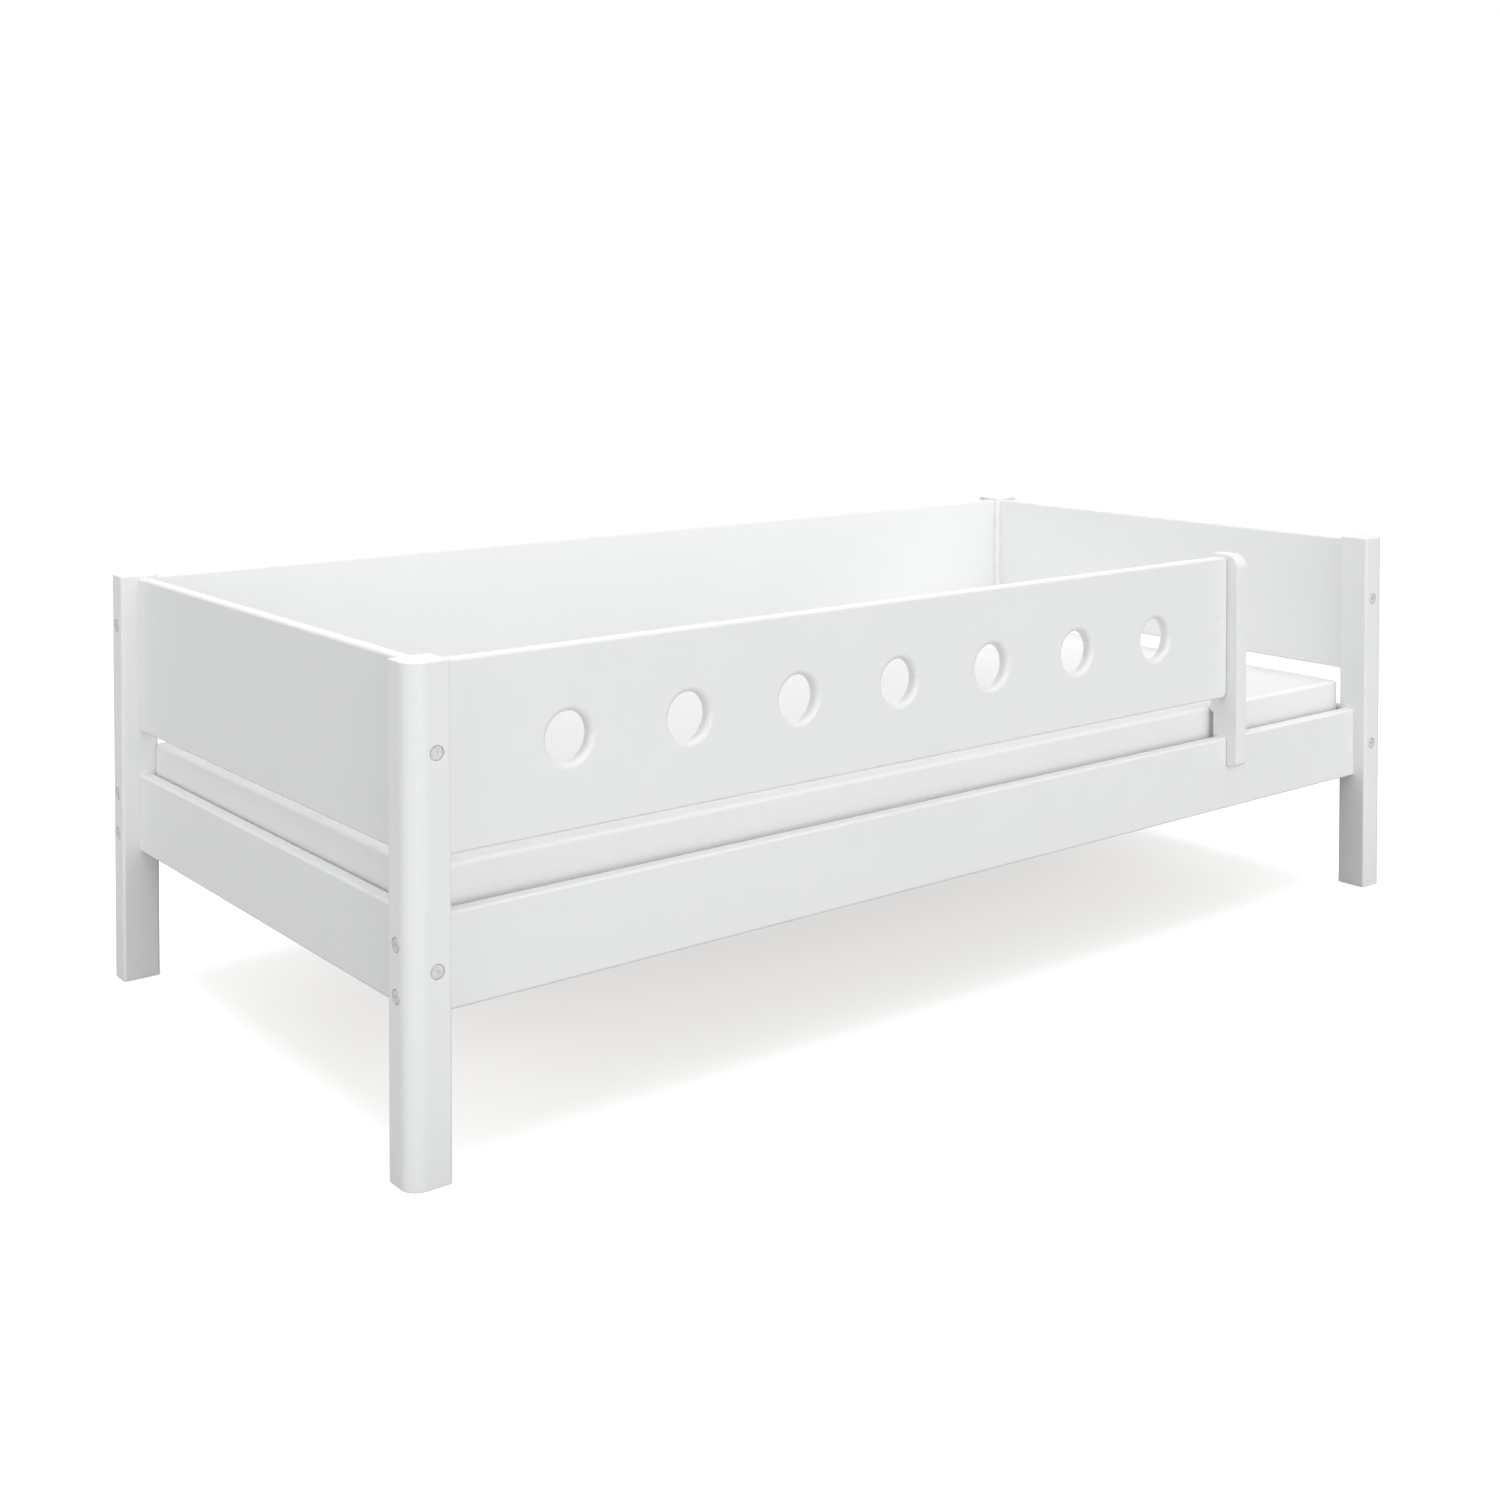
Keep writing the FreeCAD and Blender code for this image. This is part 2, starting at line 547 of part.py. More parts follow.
def make_guard_support():
    """The upright at the guard's free end, notched to sit over the front side rail."""
    left = f"({SIDE_LEFT} + Dims.guard_length)"
    front = f"-({HALF_WIDTH} - Dims.support_front)"
    body = new_body("guard_support", place=(left, front, "0"))
    profile = new_sketch(body, "YZ_Plane")
    rail_top = "(Dims.rail_bottom + Dims.rail_height)"
    rail_front = "(Dims.side_recess - Dims.support_front)"
    rail_rear = f"({rail_front} + Dims.board_thickness)"
    draw_outline(
        profile,
        [
            ("0", "Dims.support_toe"),
            (rail_front, "Dims.support_toe"),
            (rail_front, rail_top),
            (rail_rear, rail_top),
            (rail_rear, "Dims.support_lip"),
            ("Dims.support_neck", "Dims.support_lip"),
            ("Dims.support_neck", "Dims.support_step"),
            ("Dims.support_depth", "Dims.support_step"),
            ("Dims.support_depth", "Dims.bed_height"),
            ("0", "Dims.bed_height"),
        ],
    )
    pad(body, profile, "Dims.support_width")
    top = number("Dims.bed_height")
    toe = number("Dims.support_toe")
    rear = number("Dims.support_depth")
    corners = [
        ("Dims.support_corner_radius", [{1: 0.0, 2: top}]),
        ("Dims.support_rear_radius", [{1: rear, 2: top}, {1: rear, 2: number("Dims.support_step")}]),
        ("Dims.support_toe_radius", [{1: 0.0, 2: toe}]),
        (
            "Dims.support_tip_radius",
            [
                {1: number(rail_front), 2: toe},
                {1: number("Dims.support_neck"), 2: number("Dims.support_lip")},
            ],
        ),
    ]
    for radius, places in corners:
        fillet(body, radius, lambda e: is_line_along(e, 0) and any(is_at(e, p) for p in places))

    sides = 0.0, number("Dims.support_width")
    notch_front = number(rail_front) - SLACK
    notch_rear = number(rail_rear) + SLACK
    notch_top = number(rail_top) + SLACK

    def is_free_edge(edge):
        middle = edge.CenterOfMass
        in_notch = notch_front < middle.y < notch_rear and middle.z < notch_top
        return any(is_at(edge, {0: side}) for side in sides) and not in_notch

    fillet(body, "Dims.support_edge_radius", is_free_edge)

    board_axis = f"({rail_front} + Dims.board_thickness / 2)"
    bores = new_sketch(body, "YZ_Plane")
    recesses = new_sketch(body, "YZ_Plane", ("0", "0", "Dims.support_width"))
    for level in GUARD_SCREW_LEVELS:
        draw_circle(bores, board_axis, level, GUARD_SCREW_BORE)
        draw_circle(recesses, board_axis, level, "(Dims.guard_screw_head + Dims.fit_gap)")
    cut(body, bores, "Dims.support_width", True)
    cut(body, recesses, "Dims.guard_screw_recess", False)
    lip_bores = new_sketch(body, "XZ_Plane", ("0", "0", "-Dims.support_neck"))
    for place in LIP_SCREW_PLACES:
        draw_circle(lip_bores, place, LIP_SCREW_LEVEL, LIP_SCREW_BORE)
    cut(body, lip_bores, LIP_THICKNESS, True)


make_guard_rail()
make_guard_support()


# -------------------------------------------------------------------- slatted base

def make_ledger(name, position, inward):
    """A strip screwed along a side rail's inner face, under the slats' ends."""
    turn, (end, face) = position
    length = f"({BETWEEN_POSTS_LONG} - 2 * Dims.ledger_end_gap)"
    start = f"({end} + {inward} * Dims.ledger_end_gap)"
    inner_face = f"({face} + {inward} * Dims.board_thickness)"
    body = new_body(name, turn, (start, inner_face, f"({SLAT_BOTTOM} - Dims.ledger_height)"))
    outline = new_sketch(body, "XZ_Plane")
    draw_rectangle(outline, "0", "0", length, "Dims.ledger_height")
    pad(body, outline, "Dims.ledger_thickness", True)
    for diameter, depth in (
        (LEDGER_SCREW_BORE, "Dims.ledger_thickness"),
        ("(Dims.ledger_screw_head + Dims.fit_gap)", "Dims.ledger_screw_recess"),
    ):
        bores = new_sketch(body, "XZ_Plane", ("0", "0", "-Dims.ledger_thickness"))
        for index in range(LEDGER_SCREW_COUNT):
            x = f"({length} / 2 - {FIRST_LEDGER_SCREW} + {index} * Dims.ledger_screw_pitch)"
            draw_circle(bores, x, "Dims.ledger_height / 2", diameter)
        cut(body, bores, depth, True)


make_ledger("ledger_front", FRONT_BOARD, "1")
make_ledger("ledger_rear", REAR_BOARD, "-1")

for index in range(int(number("Dims.slat_count"))):
    from_middle = f"({index} - (Dims.slat_count - 1) / 2) * Dims.slat_pitch"
    slat = new_body(
        f"slat_{index + 1:02d}",
        place=(f"{from_middle} - Dims.slat_width / 2", "-Dims.slat_length / 2", SLAT_BOTTOM),
    )
    section = new_sketch(slat, "XZ_Plane")
    draw_rectangle(section, "0", "0", "Dims.slat_width", "Dims.slat_thickness")
    pad(slat, section, "Dims.slat_length", True)
    fillet(slat, "Dims.slat_edge_radius", lambda e: is_line_along(e, 1))

for side, sign in (("front", "-1"), ("rear", "1")):
    ribbon = doc.addObject("Part::Box", f"slat_ribbon_{side}")
    ribbon.Label = f"slat_ribbon_{side}"
    ribbon_length = "((Dims.slat_count - 1) * Dims.slat_pitch + Dims.slat_width)"
    ribbon_middle = f"{sign} * Dims.ribbon_spacing / 2"
    ribbon.setExpression("Length", ribbon_length)
    ribbon.setExpression("Width", "Dims.ribbon_width")
    ribbon.setExpression("Height", "Dims.ribbon_thickness")
    ribbon.setExpression("Placement.Base.x", f"-1 * {ribbon_length} / 2")
    ribbon.setExpression("Placement.Base.y", f"{ribbon_middle} - Dims.ribbon_width / 2")
    ribbon.setExpression("Placement.Base.z", f"{SLAT_BOTTOM} - Dims.ribbon_thickness")
    subparts.append(ribbon)


# ---------------------------------------------------------------------- fasteners

def sketch_on_axis(body, role, along, across, level):
    """A sketch whose origin is a fastener's start and whose X axis is its length.

    On the X-Z plane the fastener runs along X, on the Y-Z plane along Y.
    """
    sign = "-1 * " if role == "XZ_Plane" else ""
    return new_sketch(body, role, (along, level, f"{sign}{across}"))


def turn_rod(body, role, along, across, level, radius, length, tip):
    """A round rod with both ends chamfered by tip."""
    sketch = sketch_on_axis(body, role, along, across, level)
    draw_outline(
        sketch,
        [
            ("0", "0"),
            ("0", f"({radius} - {tip})"),
            (tip, radius),
            (f"({length} - {tip})", radius),
            (length, f"({radius} - {tip})"),
            (length, "0"),
        ],
    )
    return revolve(body, sketch)


def turn_screw(body, role, along, across, level, head, head_height, shank, length, tip):
    """A round head with an eased rim on a round shank with a chamfered tip."""
    ease = "Dims.head_ease"
    sketch = sketch_on_axis(body, role, along, across, level)
    draw_outline(
        sketch,
        [
            ("0", "0"),
            ("0", f"({head} / 2 - {ease})"),
            (ease, f"({head} / 2)"),
            (head_height, f"({head} / 2)"),
            (head_height, f"({shank} / 2)"),
            (f"({length} - {tip})", f"({shank} / 2)"),
            (length, f"({shank} / 2 - {tip} / 2)"),
            (length, "0"),
        ],
    )
    return revolve(body, sketch)


def cut_socket(body, role, face, across, level, size, depth):
    """A hexagon socket in a head whose outer face lies across the fastener's axis."""
    crossing = "YZ_Plane" if role == "XZ_Plane" else "XZ_Plane"
    place = (across, level, face) if crossing == "YZ_Plane" else (across, level, f"-1 * {face}")
    sketch = new_sketch(body, crossing, place)
    draw_hexagon(sketch, size)
    return cut(body, sketch, depth, crossing == "YZ_Plane")


BOLT_LENGTH_LONG = "(Dims.post_width + Dims.bolt_reach - Dims.bolt_head_sink)"
BOLT_LENGTH_WIDE = "(Dims.post_depth + Dims.bolt_reach - Dims.bolt_head_sink)"
BOLT_START_LONG = f"(-1 * {HALF_LENGTH} + Dims.bolt_head_sink)"
BOLT_START_WIDE = f"(-1 * {HALF_WIDTH} + Dims.bolt_head_sink)"
INSERT_START_LONG = f"(-1 * {HALF_LENGTH} + Dims.post_width)"
INSERT_START_WIDE = f"(-1 * {HALF_WIDTH} + Dims.post_depth)"
SIDE_LINE = f"({HALF_WIDTH} - {SIDE_AXIS})"
END_LINE = f"({HALF_LENGTH} - {END_AXIS})"
BOLT = "Dims.bolt_head_diameter", "Dims.bolt_head_height", "Dims.bolt_diameter"
SOCKET = "Dims.bolt_socket", "Dims.bolt_socket_depth"

# name, sketch plane, place across, lowest level, row, mirror planes
SIDE_ROW = "Z_Axis", 2, "Dims.side_bolt_spacing"
BOTH_WAYS = ("YZ_Plane", "XZ_Plane")
BOLT_GROUPS = [
    ("side_rail_bolts", "XZ_Plane", f"-1 * {SIDE_LINE}", SIDE_BOLT_LEVELS[0], SIDE_ROW, BOTH_WAYS),
    ("rear_panel_bolts", "XZ_Plane", SIDE_LINE, "Dims.rear_panel_bolt_level", None, BOTH_WAYS[:1]),
    ("end_rail_bolts", "YZ_Plane", f"-1 * {END_LINE}", RAIL_MIDDLE, None, BOTH_WAYS),
    ("end_panel_bolts", "YZ_Plane", f"-1 * {END_LINE}", "Dims.end_panel_bolt_level", None, BOTH_WAYS),
]


def make_bolts(name, role, across, level, row, mirrors):
    """Furniture bolts with flat round heads and hexagon sockets."""
    start = BOLT_START_LONG if role == "XZ_Plane" else BOLT_START_WIDE
    length = BOLT_LENGTH_LONG if role == "XZ_Plane" else BOLT_LENGTH_WIDE
    body = new_body(name)
    bolt = turn_screw(body, role, start, across, level, *BOLT, length, "Dims.bolt_tip")
    socket = cut_socket(body, role, start, across, level, *SOCKET)
    repeat(body, [bolt, socket], row, mirrors)


def make_inserts(name, role, across, level, row, mirrors):
    """Threaded sleeves in the boards' ends, which the bolts screw into."""
    start = INSERT_START_LONG if role == "XZ_Plane" else INSERT_START_WIDE
    ease = "Dims.head_ease"
    inner = "(Dims.bolt_diameter + Dims.fit_gap) / 2"
    outer = "Dims.insert_diameter / 2"
    body = new_body(name)
    sketch = sketch_on_axis(body, role, start, across, level)
    draw_outline(
        sketch,
        [
            ("0", inner),
            ("0", f"({outer} - {ease})"),
            (ease, outer),
            (f"(Dims.insert_length - {ease})", outer),
            ("Dims.insert_length", f"({outer} - {ease})"),
            ("Dims.insert_length", inner),
        ],
    )
    repeat(body, [revolve(body, sketch)], row, mirrors)


for group, role, across, level, row, mirrors in BOLT_GROUPS:
    make_bolts(group, role, across, level, row, mirrors)
    make_inserts(group.replace("_bolts", "_inserts"), role, across, level, row, mirrors)

DOWEL_START_LONG = f"(-1 * {HALF_LENGTH} + Dims.post_width - Dims.dowel_length / 2)"
DOWEL_START_WIDE = f"(-1 * {HALF_WIDTH} + Dims.post_depth - Dims.dowel_length / 2)"
ACROSS_BED = "YZ_Plane", DOWEL_START_WIDE, f"-1 * {END_LINE}"
ALONG_FRONT = "XZ_Plane", DOWEL_START_LONG, f"-1 * {SIDE_LINE}"
ALONG_REAR = "XZ_Plane", DOWEL_START_LONG, SIDE_LINE
ROD = "Dims.dowel_diameter / 2", "Dims.dowel_length", "Dims.dowel_tip"

# name, line of the dowel, lowest level, spacing, mirror planes
DOWEL_GROUPS = [
    ("end_rail", ACROSS_BED, END_RAIL_DOWEL_LEVELS[0], "Dims.end_rail_dowel_spacing", BOTH_WAYS),
    ("end_panel", ACROSS_BED, END_PANEL_DOWEL_LEVELS[0], "Dims.end_panel_dowel_spacing", BOTH_WAYS),
    ("rear_panel", ALONG_REAR, REAR_PANEL_DOWEL_LEVELS[0], "Dims.rear_panel_dowel_spacing", BOTH_WAYS[:1]),
    ("guard", ALONG_FRONT, GUARD_DOWEL_LEVELS[0], "Dims.guard_dowel_spacing", ()),
]
for group, line, level, spacing, mirrors in DOWEL_GROUPS:
    dowels = new_body(f"{group}_dowels")
    dowel = turn_rod(dowels, *line, level, *ROD)
    repeat(dowels, [dowel], ("Z_Axis", 2, spacing), mirrors)

# Screws through the support into the guard's end, pointing to -X
support_face = f"({SIDE_LEFT} + Dims.guard_length + Dims.support_width)"
guard_head_depth = "(Dims.guard_screw_recess - Dims.guard_screw_head_height)"
screw_place = (f"{support_face} - {guard_head_depth}", f"-1 * {SIDE_LINE}", "0")
guard_screws = new_body("guard_screws", 180, screw_place)
guard_screw = turn_screw(
    guard_screws,
    "XZ_Plane",
    "0",
    "0",
    GUARD_SCREW_LEVELS[0],
    "Dims.guard_screw_head",
    "Dims.guard_screw_head_height",
    "Dims.guard_screw_diameter",
    "Dims.guard_screw_length",
    "Dims.screw_tip",
)
repeat(guard_screws, [guard_screw], ("Z_Axis", 2, "Dims.guard_screw_spacing"))

# Screws through the support's rear lip into the side rail, pointing to -Y
lip_face = f"(-1 * {HALF_WIDTH} + Dims.support_front + Dims.support_neck)"
screw_place = (
    f"({SIDE_LEFT} + Dims.guard_length + {LIP_SCREW_PLACES[0]})",
    f"{lip_face} + Dims.lip_screw_head_height",
    "0",
)
lip_screws = new_body("lip_screws", -90, screw_place)
lip_screw = turn_screw(
    lip_screws,
    "XZ_Plane",
    "0",
    "0",
    LIP_SCREW_LEVEL,
    "Dims.lip_screw_head",
    "Dims.lip_screw_head_height",
    "Dims.lip_screw_diameter",
    "(Dims.lip_screw_length + Dims.lip_screw_head_height)",
    "Dims.screw_tip",
)
repeat(lip_screws, [lip_screw], ("Y_Axis", 2, "Dims.lip_screw_spacing"))

# Screws through the ledgers into the side rails
ledger_face = f"({HALF_WIDTH} - Dims.side_recess - Dims.board_thickness - Dims.ledger_thickness)"
ledger_head_depth = "(Dims.ledger_screw_recess - Dims.ledger_screw_head_height)"
ledger_screws = new_body("ledger_screws")
ledger_screw = turn_screw(
    ledger_screws,
    "YZ_Plane",
    f"({ledger_face} + {ledger_head_depth})",
    f"-1 * {FIRST_LEDGER_SCREW}",
    LEDGER_SCREW_LEVEL,
    "Dims.ledger_screw_head",
    "Dims.ledger_screw_head_height",
    "Dims.ledger_screw_diameter",
    f"(Dims.ledger_screw_length - {ledger_head_depth})",
    "Dims.screw_tip",
)
screw_row = "X_Axis", LEDGER_SCREW_COUNT, "Dims.ledger_screw_pitch"
repeat(ledger_screws, [ledger_screw], screw_row, ("XZ_Plane",))


# ------------------------------------------------------------------------ mattress

def make_cushion(name, inset):
    """A block with rounded corners and edges, drawn in from the mattress by inset."""
    body = doc.addObject("PartDesign::Body", name)
    body.Label = name
    length = f"(Dims.mattress_length - 2 * {inset})"
    width = f"(Dims.mattress_width - 2 * {inset})"
    body.setExpression("Placement.Base.x", f"-{length} / 2")
    body.setExpression("Placement.Base.y", f"Dims.mattress_shift - {width} / 2")
    body.setExpression("Placement.Base.z", f"Dims.slat_top + {inset}")
    outline = new_sketch(body, "XY_Plane")
    draw_rectangle(outline, "0", "0", length, width)
    pad(body, outline, f"(Dims.mattress_height - 2 * {inset})")
    fillet(body, f"Dims.mattress_corner_radius - {inset}", lambda e: is_line_along(e, 2))
    top = number(f"Dims.mattress_height - 2 * {inset}")
    fillet(
        body,
        f"Dims.mattress_edge_radius - {inset}",
        lambda e: is_at(e, {2: 0.0}) or is_at(e, {2: top}),
    )
    return body


subparts.append(make_cushion("mattress_core", "Dims.cover_thickness"))
cover = doc.addObject("Part::Cut", "mattress_cover")
cover.Label = "mattress_cover"
cover.Base = make_cushion("mattress_outside", "0")
cover.Tool = subparts[-1]
subparts.append(cover)
doc.recompute()


# -------------------------------------------------------------- check and write out

for item in doc.Objects:
    if "Invalid" in item.State or "Error" in item.State:
        raise RuntimeError(f"{item.Name} failed: {item.State}")
for item in subparts:
    if item.Shape.isNull() or not item.Shape.isValid():
        raise RuntimeError(f"{item.Label} has no sound shape")

os.makedirs(PARTS_FOLDER, exist_ok=True)
for item in subparts:
    item.Shape.exportStep(os.path.join(PARTS_FOLDER, f"{item.Label}.step"))
    print(f"{item.Label}: {len(item.Shape.Solids)} solid(s), {item.Shape.Volume / 1000:.1f} cm3")
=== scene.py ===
import math
import random

import bmesh
import bpy
import numpy as np
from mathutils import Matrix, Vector
from mathutils.bvhtree import BVHTree


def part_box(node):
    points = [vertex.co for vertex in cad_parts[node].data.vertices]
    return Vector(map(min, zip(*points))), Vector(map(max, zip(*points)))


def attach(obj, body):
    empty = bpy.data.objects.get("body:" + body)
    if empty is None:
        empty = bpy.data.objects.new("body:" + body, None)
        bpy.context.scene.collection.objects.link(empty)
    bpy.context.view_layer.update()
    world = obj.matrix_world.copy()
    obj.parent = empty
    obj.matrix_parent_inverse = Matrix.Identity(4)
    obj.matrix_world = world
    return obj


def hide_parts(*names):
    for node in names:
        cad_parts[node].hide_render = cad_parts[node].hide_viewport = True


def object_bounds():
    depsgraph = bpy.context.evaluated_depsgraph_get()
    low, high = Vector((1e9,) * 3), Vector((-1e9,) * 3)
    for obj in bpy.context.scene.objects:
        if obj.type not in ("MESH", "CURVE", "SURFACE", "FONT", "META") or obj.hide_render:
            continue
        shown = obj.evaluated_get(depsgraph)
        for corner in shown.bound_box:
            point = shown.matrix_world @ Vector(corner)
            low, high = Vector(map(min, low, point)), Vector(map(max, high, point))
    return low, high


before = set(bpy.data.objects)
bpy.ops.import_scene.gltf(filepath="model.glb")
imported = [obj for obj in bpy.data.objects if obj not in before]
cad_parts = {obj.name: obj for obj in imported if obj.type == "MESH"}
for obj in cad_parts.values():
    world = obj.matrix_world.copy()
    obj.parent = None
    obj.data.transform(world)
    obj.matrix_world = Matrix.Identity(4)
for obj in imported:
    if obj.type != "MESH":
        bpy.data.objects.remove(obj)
cad_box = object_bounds()

scene = bpy.context.scene


# ------------------------------------------------------------------ node helpers

def add(tree, kind, sockets=None, **settings):
    """A shader node; a socket given a socket is linked to it, any other value is set."""
    node = tree.nodes.new(kind)
    for key, value in settings.items():
        setattr(node, key, value)
    for key, value in (sockets or {}).items():
        if isinstance(value, bpy.types.NodeSocket):
            tree.links.new(value, node.inputs[key])
        else:
            node.inputs[key].default_value = value
    return node


def calc(tree, operation, a, b=0.0):
    return add(tree, "ShaderNodeMath", {0: a, 1: b}, operation=operation).outputs[0]


def vector_calc(tree, operation, a, b=(0.0, 0.0, 0.0)):
    return add(tree, "ShaderNodeVectorMath", {0: a, 1: b}, operation=operation).outputs[0]


def spread(tree, value, start, end, low=0.0, high=1.0):
    """Maps start..end to low..high, clamped."""
    sockets = {"Value": value, "From Min": start, "From Max": end, "To Min": low, "To Max": high}
    return add(tree, "ShaderNodeMapRange", sockets).outputs[0]


def blend_colour(tree, factor, first, second):
    sockets = {0: factor, 6: first, 7: second}
    return add(tree, "ShaderNodeMix", sockets, data_type="RGBA").outputs[2]


def rgba(red, green, blue):
    return (red, green, blue, 1.0)


def noise_at(tree, place, scale, detail=2.0, rough=0.5):
    sockets = {"Vector": place, "Scale": scale, "Detail": detail, "Roughness": rough}
    return add(tree, "ShaderNodeTexNoise", sockets).outputs["Fac"]


def stretched(tree, place, scale):
    return add(tree, "ShaderNodeMapping", {"Vector": place, "Scale": scale}).outputs[0]


def bump(tree, height, distance, normal=None):
    sockets = {"Height": height, "Distance": distance, "Strength": 1.0}
    if normal is not None:
        sockets["Normal"] = normal
    return add(tree, "ShaderNodeBump", sockets).outputs[0]


def new_material(name):
    """An empty principled material: its tree, shader and object coordinates."""
    material = bpy.data.materials.new(name)
    material.use_nodes = True
    tree = material.node_tree
    shader = tree.nodes["Principled BSDF"]
    place = add(tree, "ShaderNodeTexCoord").outputs["Object"]
    return material, tree, shader, place


def wire(tree, shader, colour, roughness, normal):
    tree.links.new(colour, shader.inputs["Base Color"])
    tree.links.new(roughness, shader.inputs["Roughness"])
    tree.links.new(normal, shader.inputs["Normal"])


def edge_mask(tree, size, width):
    """1 on the outer edges of a box-shaped piece, falling to 0 a width away."""
    generated = add(tree, "ShaderNodeTexCoord").outputs["Generated"]
    centred = vector_calc(tree, "SUBTRACT", generated, (0.5, 0.5, 0.5))
    inset = vector_calc(tree, "SUBTRACT", (0.5, 0.5, 0.5), vector_calc(tree, "ABSOLUTE", centred))
    inset = vector_calc(tree, "MULTIPLY", inset, size)
    parts = add(tree, "ShaderNodeSeparateXYZ", {0: inset}).outputs
    nearest = calc(tree, "MINIMUM", parts[0], parts[1])
    farther = calc(tree, "MAXIMUM", parts[0], parts[1])
    second = calc(tree, "MAXIMUM", nearest, calc(tree, "MINIMUM", farther, parts[2]))
    return spread(tree, second, 0.0, width, 1.0, 0.0)


# --------------------------------------------------------------------- materials

LACQUER = rgba(0.845, 0.85, 0.847)
LACQUER_DIM = rgba(0.822, 0.829, 0.828)
LACQUER_WORN = rgba(0.70, 0.685, 0.65)
LACQUER_EDGE = 0.0045
WOOD_EDGE = 0.003


def make_lacquer(name, size, along, rims=None):
    """Satin white lacquer on a board that runs along axis 0, 1 or 2."""
    material, tree, shader, place = new_material(name)
    cloud = noise_at(tree, place, 2.3, 3.0)
    smudge = noise_at(tree, place, 11.0, 4.0, 0.6)
    broad, narrow = calc(tree, "MULTIPLY", cloud, 0.7), calc(tree, "MULTIPLY", smudge, 0.3)
    tone = spread(tree, calc(tree, "ADD", broad, narrow), 0.3, 0.7)
    colour = blend_colour(tree, tone, LACQUER_DIM, LACQUER)

    edge = edge_mask(tree, size, LACQUER_EDGE)
    if rims is not None:
        edge = calc(tree, "MAXIMUM", edge, rims(tree, place))
    patches = spread(tree, noise_at(tree, place, 38.0, 5.0, 0.65), 0.56, 0.70)
    wear = calc(tree, "MULTIPLY", calc(tree, "MULTIPLY", edge, patches), 0.45)
    colour = blend_colour(tree, wear, colour, LACQUER_WORN)

    rough = spread(tree, smudge, 0.3, 0.7, 0.40, 0.50)
    rough = calc(tree, "SUBTRACT", rough, calc(tree, "MULTIPLY", edge, 0.07))

    scale = [260.0, 260.0, 260.0]
    scale[along] = 9.0
    fibres = noise_at(tree, stretched(tree, place, scale), 1.0, 3.0, 0.6)
    peel = noise_at(tree, place, 330.0, 1.0)
    normal = bump(tree, fibres, 0.00004)
    normal = bump(tree, peel, 0.00005, normal)
    wire(tree, shader, colour, rough, normal)
    shader.inputs["Specular IOR Level"].default_value = 0.45
    shader.inputs["Coat Weight"].default_value = 0.12
    shader.inputs["Coat Roughness"].default_value = 0.32
    return material


def make_wood(name, size, along, light, dark, ring_scale=85.0):
    """Planed raw wood with grain along axis 0, 1 or 2."""
    material, tree, shader, place = new_material(name)
    scale = [1.0, 1.0, 1.0]
    scale[along] = 0.045
    warped = stretched(tree, place, scale)
    bend = noise_at(tree, warped, 9.0, 3.0, 0.5)
    sideways, upward = calc(tree, "MULTIPLY", bend, 0.05), calc(tree, "MULTIPLY", bend, 0.09)
    sway = add(tree, "ShaderNodeCombineXYZ", {0: sideways, 1: 0.0, 2: upward}).outputs[0]
    flow = vector_calc(tree, "ADD", warped, sway)
    rings = noise_at(tree, flow, ring_scale, 2.0, 0.4)
    bands = calc(tree, "PINGPONG", calc(tree, "MULTIPLY", rings, 9.0), 1.0)
    fine = [520.0, 520.0, 520.0]
    fine[along] = 11.0
    pores = noise_at(tree, stretched(tree, place, fine), 1.0, 3.0, 0.6)
    broad, narrow = calc(tree, "MULTIPLY", bands, 0.65), calc(tree, "MULTIPLY", pores, 0.5)
    grain = calc(tree, "ADD", broad, narrow)
    colour = blend_colour(tree, spread(tree, grain, 0.25, 0.95), rgba(*dark), rgba(*light))
    board = noise_at(tree, place, 3.1, 1.0)
    shade = tuple(value * 0.84 for value in light)
    colour = blend_colour(tree, spread(tree, board, 0.35, 0.65, 0.0, 0.5), colour, rgba(*shade))
    edge = edge_mask(tree, size, WOOD_EDGE)
    wear = calc(tree, "MULTIPLY", edge, spread(tree, pores, 0.35, 0.65, 0.1, 0.5))
    colour = blend_colour(tree, wear, colour, rgba(*(value * 0.72 for value in dark)))
    rough = spread(tree, pores, 0.3, 0.7, 0.72, 0.58)
    normal = bump(tree, grain, 0.00012)
    wire(tree, shader, colour, rough, normal)
    shader.inputs["Specular IOR Level"].default_value = 0.35
    return material


def make_steel(name, tint, roughness, metallic):
    """Plated steel with fine turning marks and a few scuffs."""
    material, tree, shader, place = new_material(name)
    cloud = noise_at(tree, place, 160.0, 3.0)
    scuff = spread(tree, noise_at(tree, place, 900.0, 4.0, 0.7), 0.58, 0.72)
    dull = rgba(*(value * 0.86 for value in tint))
    colour = blend_colour(tree, spread(tree, cloud, 0.3, 0.7), dull, rgba(*tint))
    rough = spread(tree, cloud, 0.3, 0.7, roughness - 0.05, roughness + 0.06)
    rough = calc(tree, "ADD", rough, calc(tree, "MULTIPLY", scuff, 0.12))
    turning = noise_at(tree, place, 2600.0, 2.0)
    wire(tree, shader, colour, rough, bump(tree, turning, 0.00001))
    shader.inputs["Metallic"].default_value = metallic
    return material


